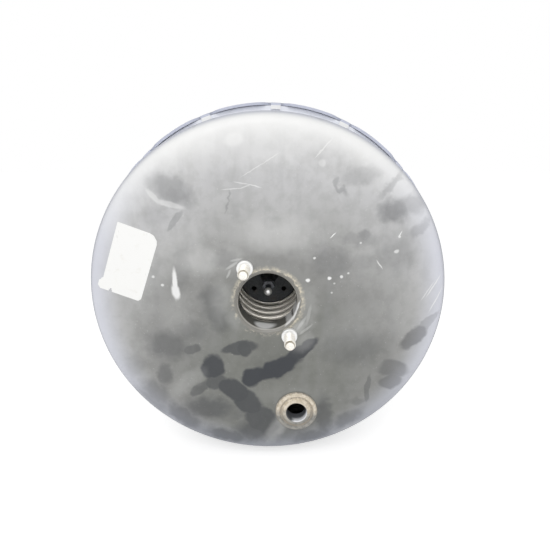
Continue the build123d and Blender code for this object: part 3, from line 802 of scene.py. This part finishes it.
def open_cell(name, code, cell):
    """Open-cell foam or felt: dull, its pits or fibres drawn as fine hollows."""
    made, tree, place = new_material(name, Roughness=0.95)
    pits = add(tree, "TexVoronoi", {"Vector": place, "Scale": 1 / (cell * MM)}, "Distance")
    shade = add(tree, "ValToRGB", {"Fac": pits}, stops=[(0.1, [v * 0.35 for v in code]), (0.6, code)])
    return painted(made, shade, pits, 0.6, 0.3)


def blank_label():
    """Bare coated paper label: white, satin, slightly creamed and scuffed."""
    c = colours()
    made, tree, place = new_material("blank_paper_label", Roughness=0.5)
    surface = mottled(tree, place, 5, c.label, tint("#dedbd0"), 0.55, 0.75, 0.25, detail=4, roughness=0.65)
    surface = mottled(tree, place, 1.4, surface, tint("#c9c8c4"), 0.66, 0.76, 0.25, stretch=(1, 1, 0.3))
    return painted(made, surface, grain(tree, place, 8, 3), 0.2, 0.15)


FINISHES = {}


def finish(name):
    """A finish by name, made the first time it is asked for."""
    front_stud = on_circle(FRONT_STUD_CIRCLE_R, FRONT_STUD_ANGLE)
    front_axes = [front_stud, (-front_stud[0], -front_stud[1])]
    makers = {
        "front_enamel": front_enamel,
        "rear_enamel": rear_enamel,
        "stud_zinc": lambda: plated_steel(
            "dusty_zinc_studs", tint("#fbf8f1"), tint("#efe6d2"), 0.55, front_axes, STUD_ROOT_R, -102.6
        ),
        "zinc": lambda: plated_steel(
            "passivated_zinc_plate", colours().zinc, tint("#b8ae92"), 0.22, FIREWALL_STUDS, STUD_ROOT_R
        ),
        "wire": drawn_wire,
        "phosphate": phosphated_steel,
        "black_oxide": oiled_black_steel,
        "bare_steel": ground_steel,
        "rubber": moulded_rubber,
        "grommet": aged_grommet_rubber_and_painted_light,
        "phenolic": moulded_phenolic,
        "nylon": moulded_nylon,
        "foam": lambda: open_cell("silencer_foam", tint("#4a4a4c"), 1.2),
        "felt": lambda: open_cell("filter_felt", tint("#a59f90"), 0.6),
        "label": blank_label,
    }
    if name not in FINISHES:
        FINISHES[name] = makers[name]()
    return FINISHES[name]


# ---- pieces ---------------------------------------------------------------------------------
PORT_ANGLE = -76.2
PORT_CIRCLE_R = 91.0
FRONT_STUD_ANGLE = 121.6
FRONT_STUD_CIRCLE_R = 30.0
TAB_FIRST_ANGLE = 87.5
TAB_COUNT = 16
FIREWALL_STUDS = [(x, z) for x in (-40, 40) for z in (-35, 35)]
STUD_ROOT_R = 3.3
SLOT_Y = -0.0446  # metres; bottom of the slots beside each tab


class BOOSTER_OT_front_shell(bpy.types.Operator):
    """Front pressing: bore neck, flat face, cone, rolled edge, wall, flange and vacuum port boss"""

    bl_idname = "booster.front_shell"
    bl_label = "Front Shell"

    def execute(self, context):
        face = rounded(
            [(21.2, -84.5), (21.2, -100), (44, -100), (128.5, -96.8), (131.3, -46), (135.1, -46)],
            [2.8, 18, 9, 0.9], 7,
        )
        sheet = sizes().sheet / MM
        path = split_long(face, 2.6)
        shell = turned("front_shell_skin", walled(path, sheet)[::-1], sizes().round_steps)
        port_x, port_z = on_circle(PORT_CIRCLE_R, PORT_ANGLE)
        centre = Vector((port_x, 0, port_z)) * MM

        def near_port(radius):
            """Test for points of the face no further from the port's axis than this."""
            return lambda co: math.hypot(co.x - centre.x, co.z - centre.z) < radius * MM and co.y < -0.09

        finer_r, boss_top_r, hole_r = 22, 14.2, 9.6
        boss_height, boss_slope = 1.6, 5.2
        open_mesh(shell)
        pick(near_port(finer_r), "FACE")
        bpy.ops.mesh.subdivide(number_cuts=1)
        pick(near_port(boss_top_r))
        bpy.ops.transform.translate(
            value=(0, -boss_height * MM, 0), use_proportional_edit=True,
            proportional_edit_falloff="SMOOTH", proportional_size=boss_slope * MM,
        )
        remove_faces(near_port(hole_r))
        bpy.ops.object.mode_set(mode="OBJECT")
        finished(shell, "casing", finish("front_enamel"), "casing_paint", "front_shell")
        return {"FINISHED"}


class BOOSTER_OT_rear_shell(bpy.types.Operator):
    """Rear pressing: skirt with tapered lobes and folded tabs, dished back, pad and neck"""

    bl_idname = "booster.rear_shell"
    bl_label = "Rear Shell"

    def execute(self, context):
        outline = rounded(
            [
                (137.2, -49.5), (137.2, -38), (129.2, -38), (126.4, -24), (80.5, -7), (76, 0), (31, 0),
                (31, 22), (27.2, 22),
            ],
            [2.6, 0.8, 13, 5, 5, 2.6, 2.4], 12,
        )
        skirt = [(137.2, y) for y in (-49.5, -48.6, -47.6, -46.6, -45.6, -44.6, -43.0)]
        outline = [Vector(p) for p in skirt] + split_long(outline[1:], 5.0)
        shell = drawn_line("rear_shell_skin", outline)
        sector = 360 / TAB_COUNT
        columns = 30
        step = sector / columns
        bpy.ops.mesh.select_all(action="SELECT")
        bpy.ops.mesh.spin(steps=columns, angle=math.radians(sector), center=(0, 0, 0), axis=(0, 1, 0))
        merge_all()

        def bearing(co):
            """Degrees from the middle of the sector, where the tab is."""
            return math.degrees(math.atan2(co.z, co.x)) - sector / 2

        # The skirt is open beside each tab and rises to its full length between the tabs.
        half_slot = 3 * step
        remove_faces(lambda co: abs(bearing(co)) < half_slot and co.y < SLOT_Y)
        for column, height in ((3, 0.02), (4, 0.30), (5, 0.66), (6, 0.88), (7, 0.97)):
            pick(lambda co: abs(abs(bearing(co)) - column * step) < step / 4 and co.y < SLOT_Y - 1e-5)
            bpy.ops.transform.resize(value=(1, height, 1), center_override=(0, SLOT_Y, 0))
        # The tab is drawn out of the skirt's edge and folded in over the flange.
        pick(lambda co: abs(bearing(co)) < 2.2 * step and abs(co.y - SLOT_Y) < 1e-5, "EDGE")
        middle = Vector((math.cos(math.radians(sector / 2)), 0, math.sin(math.radians(sector / 2))))
        for inward, forward in ((0, 1.7), (0.12, 0.56), (0.35, 0.5), (0.55, 0.34), (0.6, 0.1), (2.98, 0)):
            bpy.ops.mesh.extrude_region_move(
                TRANSFORM_OT_translate={"value": (-middle * inward + Vector((0, -forward, 0))) * MM}
            )
        bpy.ops.mesh.select_all(action="SELECT")
        bpy.ops.mesh.spin(
            steps=TAB_COUNT - 1, angle=math.radians(360 - sector), dupli=True,
            center=(0, 0, 0), axis=(0, 1, 0),
        )
        close_up()
        applied(shell, "SOLIDIFY", thickness=sizes().sheet, offset=-1, use_even_offset=True)
        placed(shell, turn=(0, -(TAB_FIRST_ANGLE - sector / 2), 0))
        finished(shell, "casing", finish("rear_enamel"), "casing_paint", "rear_shell")
        return {"FINISHED"}


class BOOSTER_OT_return_spring(bpy.types.Operator):
    """Round-wire return spring with a closed coil at each end"""

    bl_idname = "booster.return_spring"
    bl_label = "Return Spring"

    def execute(self, context):
        wire_r = sizes().spring_wire / MM / 2
        mean_r = sizes().spring_mean_r / MM
        front_y, back_y, turns = -91.0, -20.2, 7.2
        closed = 1.03 * wire_r * 2  # rise of an end coil that lies on the next
        run = back_y - front_y - wire_r * 2
        y = front_y + wire_r
        turned_so_far = 0.0
        parts = []
        section = [on_circle(wire_r, index * 22.5) for index in range(16)]
        for count, rise in ((1.0, closed), (turns - 2, run - 2 * closed), (1.0, closed)):
            coil = helix("coil", [(mean_r + a, y + b) for a, b in section], rise / count, count, 72)
            placed(coil, turn=(0, -360 * turned_so_far, 0))
            parts.append(coil)
            turned_so_far += count
            y += rise
        spring = joined("return_spring_wire", *parts)
        capped(spring)
        finished(spring, "casing", finish("wire"), "spring_steel", "return_spring")
        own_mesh(spring)
        return {"FINISHED"}


def threaded_stud(name, head_y, head_r, length, collar_r=0.0, collar=0.0):
    """Stud standing along +Y from a face at y 0: head, shank, any collar, thread and round point."""
    head_height, shank_r, crest_r = 3.0, 4.6, 3.98
    under_head = head_y + head_height
    outline = [(0, head_y), (head_r, head_y), (head_r, under_head), (shank_r, under_head), (shank_r, 0)]
    radii = [0.6, 0.5, 0, 0]
    if collar:
        outline += [(collar_r, 0), (collar_r, collar)]
        radii += [0, 0.6]
    outline += [(STUD_ROOT_R, collar), (STUD_ROOT_R, length), (0, length)]
    body = turned(name, rounded(outline, radii + [0.3, 0.9], 22), 40)
    pitch = sizes().stud_pitch / MM
    ridge = thread("ridge", crest_r, STUD_ROOT_R, pitch, collar - 0.1, length - collar - 1.2)
    return joined(name, body, ridge)


class BOOSTER_OT_input_spring(bpy.types.Operator):
    """Conical spring that pushes the input rod back, carried on the power piston"""

    bl_idname = "booster.input_spring"
    bl_label = "Input Rod Spring"

    def execute(self, context):
        spring = softened("input_spring_wire", "input_return_spring", 0.35)
        finished(spring, "power_piston", finish("wire"), "spring_steel", "input_return_spring")
        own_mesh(spring)
        return {"FINISHED"}


class BOOSTER_OT_studs(bpy.types.Operator):
    """Threaded studs: two for the master cylinder and four for the firewall"""

    bl_idname = "booster.studs"
    bl_label = "Studs"

    def execute(self, context):
        front = threaded_stud("master_cylinder_stud", -7.8, 6.5, 18.2, collar_r=5.8, collar=2.4)
        for index, angle in enumerate((FRONT_STUD_ANGLE, FRONT_STUD_ANGLE - 180)):
            x, z = on_circle(FRONT_STUD_CIRCLE_R, angle)
            stud = copied(front, f"master_cylinder_stud_{index + 1}", (x, -100, z), (0, 0, 180))
            finished(stud, "casing", finish("stud_zinc"), "zinc_steel", "master_cylinder_studs")
        rear = threaded_stud("firewall_stud", -7.8, 8.0, 22.0)
        for index, (x, z) in enumerate(FIREWALL_STUDS):
            stud = copied(rear, f"firewall_stud_{index + 1}", (x, 0, z))
            finished(stud, "casing", finish("zinc"), "zinc_steel", "firewall_studs")
        for pattern in (front, rear):
            bpy.data.objects.remove(pattern)
        return {"FINISHED"}


class BOOSTER_OT_grommet(bpy.types.Operator):
    """Vacuum port grommet: ringed face, rolled mouth and the neck that snaps in the hole"""

    bl_idname = "booster.grommet"
    bl_label = "Vacuum Grommet"

    def execute(self, context):
        front_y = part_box("vacuum_grommet")[0].y / MM
        outline = [
            (7.5, 6.0), (7.5, -3.6), (8.3, -4.3), (10.2, -4.3), (11.3, -2.5), (12.3, -2.3),
            (13.3, -3.9), (14.9, -3.7), (16.0, -2.4), (16.0, -1.7), (10.9, -1.6), (10.9, 0.4), (12.4, 0.8),
            (12.4, 2.2), (10.0, 6.4), (8.2, 6.4), (7.5, 6.0),
        ]
        radii = [0.6, 0.5, 0.9, 0.5, 0.5, 0.5, 0.7, 0.5, 0.3, 0, 0.3, 0.3, 0.5, 0.8, 0.4]
        piece = turned("vacuum_grommet_rubber", rounded(outline, radii, 20)[::-1], 72)
        # It leans with the coned face, which falls back 3.2 mm in 84.5.
        fall = math.degrees(math.atan2(3.2, 84.5))
        lean_x, lean_z = on_circle(fall, PORT_ANGLE)
        placed(piece, turn=(lean_z, 0, -lean_x))
        x, z = on_circle(PORT_CIRCLE_R, PORT_ANGLE)
        placed(piece, shift=(x, front_y + 4.4, z))
        finished(piece, "casing", finish("grommet"), "rubber_grommet", "vacuum_grommet")
        return {"FINISHED"}


class BOOSTER_OT_label(bpy.types.Operator):
    """Blank label stuck on the front pressing, one corner torn"""

    bl_idname = "booster.label"
    bl_label = "Blank Label"

    def execute(self, context):
        width, height, flap = 29.5, 50.5, 2.4
        clear_selection()
        bpy.ops.mesh.primitive_grid_add(x_subdivisions=54, y_subdivisions=84, size=1)
        label = bpy.context.object
        label.name = label.data.name = "blank_label"
        label.scale = ((width + flap) * MM, height * MM, 1)
        label.location = (-flap / 2 * MM, 0, 0)
        bpy.ops.object.transform_apply(location=True, scale=True)
        bpy.ops.object.mode_set(mode="EDIT")
        for radius, side, first in ((7.5, 1, 0), (3.0, -1, -90)):
            middle = Vector((width / 2 - radius, side * (height / 2 - radius), 0))
            for step in (15, 45, 75):
                x, y = on_circle(1, first + step)
                way = Vector((x, y, 0))
                bpy.ops.mesh.select_all(action="SELECT")
                bpy.ops.mesh.bisect(
                    plane_co=(middle + way * radius) * MM, plane_no=way, clear_outer=True, use_fill=False
                )

        def torn(co):
            """Whether a point is outside the left edge and its flap, or in the notch."""
            x, y = co.x / MM, co.y / MM
            rise = max(0, min(1, (-16 - y) / 4, (height / 2 + y) / 2))
            notch = abs(x + 7.7) < 0.3 + 0.45 * (-22.6 - y) if y < -22.6 else False
            return x < -width / 2 - flap * rise or notch

        remove_faces(torn)
        bpy.ops.object.mode_set(mode="OBJECT")
        placed(label, turn=(90, 0, 0))
        placed(label, shift=(-96.25, -105, 28.9), turn=(0, 20, 0))
        shell = bpy.data.objects["front_shell_skin"]
        applied(
            label, "SHRINKWRAP", target=shell, wrap_method="PROJECT", use_project_y=True,
            use_positive_direction=True, use_negative_direction=False,
        )
        applied(label, "SOLIDIFY", thickness=sizes().label_lift, offset=-1)
        placed(label, shift=(0, -0.12, 0))
        finished(label, "casing", finish("label"), "casing_paint")
        return {"FINISHED"}


class BOOSTER_OT_output_rod(bpy.types.Operator):
    """Output rod to the master cylinder, its adjuster and its ball tip"""

    bl_idname = "booster.output_rod"
    bl_label = "Output Rod"

    def execute(self, context):
        tip_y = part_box("output_rod_adjuster")[0].y / MM
        ball_r = 3
        round_tip = [on_circle(ball_r, 90 - angle) for angle in range(0, 127, 9)]
        ball = [(across, tip_y + ball_r - along) for across, along in round_tip]
        stem = turned(
            "output_rod_tip",
            rounded(
                ball + [(2.4, tip_y + 6.6), (2.4, -65.0), (3.2, -65.0), (3.2, -60.0), (0, -60.0)],
                [0] * (len(ball) - 1) + [0.8, 0, 0, 0], 15,
            ),
            48,
        )
        hexagon = softened("adjuster_hexagon", "output_rod_adjuster", 0.3)
        adjuster = joined("output_rod_adjuster_tip", stem, hexagon)
        finished(adjuster, "power_piston", finish("black_oxide"), "bare_steel", "output_rod_adjuster")
        return {"FINISHED"}


class BOOSTER_OT_dust_boot(bpy.types.Operator):
    """Dust boot in three pieces: collar on the neck, folded bellows, and the end on the rod"""

    bl_idname = "booster.dust_boot"
    bl_label = "Dust Boot"

    def execute(self, context):
        wall = sizes().boot_wall / MM
        bead = [
            (31.6, 8.0), (34.2, 8.0), (34.6, 9.4), (33.2, 11.4), (33.2, 22.6), (31.7, 22.6), (31.6, 8.0),
        ]
        collar = turned("boot_collar", rounded(bead, [0.5, 0.6, 1.5, 0, 0], 20), 128)
        finished(collar, "casing", finish("rubber"), "rubber_black", "dust_boot")
        folds, first_y, fold_length = 5, 26.0, 9.6
        outline = [(33.2, 21.6)]
        radii = []
        for fold in range(folds):
            start = first_y + fold * fold_length
            outline += [(36.0 - fold * 0.9, start), (29.2 - fold * 0.9, start + fold_length / 2)]
            radii += [1.9, 1.7]
        # The last valley runs into a cuff, which the boot's end slides over.
        cuff_y = 71.5
        outline[-1] = (25.6, 68.4)
        outline += [(29.0, 70.4), (29.0, cuff_y)]
        radii += [0.8]
        bellows = turned("boot_bellows", walled(rounded(outline, radii, 16), wall), 128)
        finished(bellows, "casing", finish("rubber"), "rubber_black", "dust_boot")
        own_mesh(bellows)
        cap = rounded([(31.2, cuff_y + 0.1), (31.2, 74.6), (8.6, 77.6), (7.4, 85.0)], [1.6, 2.2], 14)
        end = turned("boot_end", walled(split_long(cap, 1.2), wall), 128)
        open_mesh(end)
        vent_circle_r, vent_r = 14.0, 1.7
        for index in range(6):
            x, z = on_circle(vent_circle_r, index * 60)
            remove_faces(lambda co: math.hypot(co.x - x * MM, co.z - z * MM) < vent_r * MM)
        bpy.ops.object.mode_set(mode="OBJECT")
        finished(end, None, finish("rubber"), "rubber_black", "dust_boot")
        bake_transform(end)
        return {"FINISHED"}


class BOOSTER_OT_diaphragm(bpy.types.Operator):
    """Rolling diaphragm between the pressings and the hub"""

    bl_idname = "booster.diaphragm"
    bl_label = "Diaphragm"

    def execute(self, context):
        path = rounded(
            [
                (26.0, -9.6), (68.6, -9.8), (113.4, -25.2), (122.3, -27.8), (122.3, -53.6), (125.4, -53.6),
                (125.4, -42.0), (133.6, -42.0),
            ],
            [4, 3, 3.5, 1.5, 1.5, 1.6], 14,
        )
        skin = turned("rolling_diaphragm", walled(split_long(path, 8), -1.9), 160)
        finished(skin, "casing", finish("rubber"), "rubber_black", "diaphragm")
        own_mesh(skin)
        return {"FINISHED"}


class BOOSTER_OT_input_rod(bpy.types.Operator):
    """Push rod with its rolled thread, lock nut and forged clevis"""

    bl_idname = "booster.input_rod"
    bl_label = "Input Rod"

    def execute(self, context):
        clevis = softened("clevis_forging", "clevis", 0.7)
        finished(clevis, "input_rod", finish("zinc"), "zinc_steel", "clevis")
        nut = softened("lock_nut_hexagon", "lock_nut", 0.35)
        finished(nut, "input_rod", finish("zinc"), "zinc_steel", "lock_nut")
        ridge = thread("push_rod_thread", 5.04, 4.92, sizes().rod_pitch / MM, 85.5, 12.6)
        finished(ridge, "input_rod", finish("zinc"), "zinc_steel")
        return {"FINISHED"}


class BOOSTER_OT_inner_parts(bpy.types.Operator):
    """Finishes on the pieces that keep their own shape"""

    bl_idname = "booster.inner_parts"
    bl_label = "Carried-over Parts"

    def execute(self, context):
        by_slot = {
            "casing_paint": "rear_enamel", "zinc_steel": "zinc", "spring_steel": "wire",
            "rubber_black": "rubber", "rubber_grommet": "grommet",
        }
        by_node = {
            "output_rod_retainer": "phosphate", "seal_retainer": "phosphate", "output_rod": "black_oxide",
        }
        for name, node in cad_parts.items():
            for slot in node.material_slots:
                own = slot.material.name.split(".")[0]
                slot.material = finish(by_node.get(name, by_slot.get(own, own)))
        return {"FINISHED"}


class BOOSTER_OT_stage(bpy.types.Operator):
    """Pale floor, even studio light and camera"""

    bl_idname = "booster.stage"
    bl_label = "Stage"

    def seen(self, tree, unseen, seen):
        """Strength that differs between light on the object and what is looked at or mirrored."""
        ray = add(tree, "LightPath").node.outputs
        looked_at = add(
            tree, "Math", {0: ray["Is Camera Ray"], 1: ray["Is Glossy Ray"]}, operation="MAXIMUM"
        )
        either = add(tree, "Math", {0: looked_at, 1: ray["Is Transmission Ray"]}, operation="MAXIMUM")
        return add(tree, "MapRange", {"Value": either, "To Min": unseen, "To Max": seen})

    def execute(self, context):
        stage = context.scene.booster_stage
        clear_selection()
        # Just under the rim, so that the booster stands on it.
        floor_z = -0.1374
        bpy.ops.mesh.primitive_circle_add(vertices=96, radius=4, fill_type="NGON", location=(0, 0, floor_z))
        floor = bpy.context.object
        floor.name = "studio_floor"
        bpy.ops.object.mode_set(mode="EDIT")
        bpy.ops.mesh.select_all(action="SELECT")
        bpy.ops.mesh.inset(thickness=2.5)
        bpy.ops.object.mode_set(mode="OBJECT")
        # Matt white sheet, lifted a little so that it is seen pure white where no shadow falls on it.
        matt = {"Roughness": 0.9, "Specular IOR Level": 0.0, "Emission Color": (1, 1, 1, 1)}
        made, tree, place = new_material("matt_white_floor", **matt)
        shader = tree.nodes["Principled BSDF"].inputs
        cloud = mottled(tree, place, 600, tint("#fdfdfd"), tint("#fafafa"))
        tree.links.new(cloud, shader["Base Color"])
        tree.links.new(self.seen(tree, 0.0, 0.52), shader["Emission Strength"])
        floor.data.materials.append(made)
        world = bpy.data.worlds.new("studio_world")
        context.scene.world = world
        world.use_nodes = True
        tree = world.node_tree
        backdrop = tree.nodes["Background"].inputs
        backdrop["Color"].default_value = (1, 1, 1, 1)
        tree.links.new(self.seen(tree, stage.world_strength, 1.0), backdrop["Strength"])
        lamps = [
            ("key_high_in_front", (-0.15, -1.1, 0.75), stage.key_power, 1.0),
            ("fill_low_in_front", (0.45, -1.3, 0.15), stage.fill_power, 1.2),
        ]
        for name, place, power, size in lamps:
            bpy.ops.object.light_add(type="AREA", location=place)
            lamp = bpy.context.object
            lamp.name = name
            lamp.data.energy = power
            lamp.data.size = size
            aim = Vector((0, -0.05, 0)) - Vector(place)
            lamp.rotation_euler = aim.to_track_quat("-Z", "Y").to_euler()
        pitch = 72.815  # degrees from straight down
        bpy.ops.object.camera_add(
            location=(0.00527, -0.38665, 0.10929), rotation=(math.radians(pitch), 0, 0)
        )
        camera = bpy.context.object
        camera.data.lens = stage.lens
        camera.data.sensor_width = 36
        camera.data.clip_start = 0.01
        context.scene.camera = camera
        context.scene.view_settings.view_transform = "Standard"
        return {"FINISHED"}


class BOOSTER_PT_panel(bpy.types.Panel):
    """Lists the booster's pieces in the sidebar"""

    bl_idname = "BOOSTER_PT_panel"
    bl_label = "Brake Booster"
    bl_space_type = "VIEW_3D"
    bl_region_type = "UI"
    bl_category = "Booster"

    def draw(self, context):
        for group_name in GROUPS:
            group = getattr(context.scene, group_name)
            for name in group.__annotations__:
                self.layout.prop(group, name)
        for piece in PIECES:
            self.layout.operator(piece.bl_idname)


PIECES = [
    BOOSTER_OT_front_shell,
    BOOSTER_OT_rear_shell,
    BOOSTER_OT_return_spring,
    BOOSTER_OT_input_spring,
    BOOSTER_OT_studs,
    BOOSTER_OT_grommet,
    BOOSTER_OT_label,
    BOOSTER_OT_output_rod,
    BOOSTER_OT_dust_boot,
    BOOSTER_OT_diaphragm,
    BOOSTER_OT_input_rod,
    BOOSTER_OT_inner_parts,
    BOOSTER_OT_stage,
]
GROUPS = {"booster_sizes": BoosterSizes, "booster_colours": BoosterColours, "booster_stage": BoosterStage}


def register():
    """Register the classes and the settings."""
    for kind in [*GROUPS.values(), *PIECES, BOOSTER_PT_panel]:
        bpy.utils.register_class(kind)
    for name, kind in GROUPS.items():
        setattr(bpy.types.Scene, name, PointerProperty(type=kind))


def unregister():
    """Take the settings and the classes away again."""
    for name in GROUPS:
        delattr(bpy.types.Scene, name)
    for kind in [BOOSTER_PT_panel, *reversed(PIECES), *GROUPS.values()]:
        bpy.utils.unregister_class(kind)


def main():
    """Build every piece in order."""
    register()
    bpy.ops.booster.front_shell()
    bpy.ops.booster.rear_shell()
    bpy.ops.booster.return_spring()
    bpy.ops.booster.input_spring()
    bpy.ops.booster.studs()
    bpy.ops.booster.grommet()
    bpy.ops.booster.label()
    bpy.ops.booster.output_rod()
    bpy.ops.booster.dust_boot()
    bpy.ops.booster.diaphragm()
    bpy.ops.booster.input_rod()
    bpy.ops.booster.inner_parts()
    bpy.ops.booster.stage()


if __name__ == "__main__":
    main()
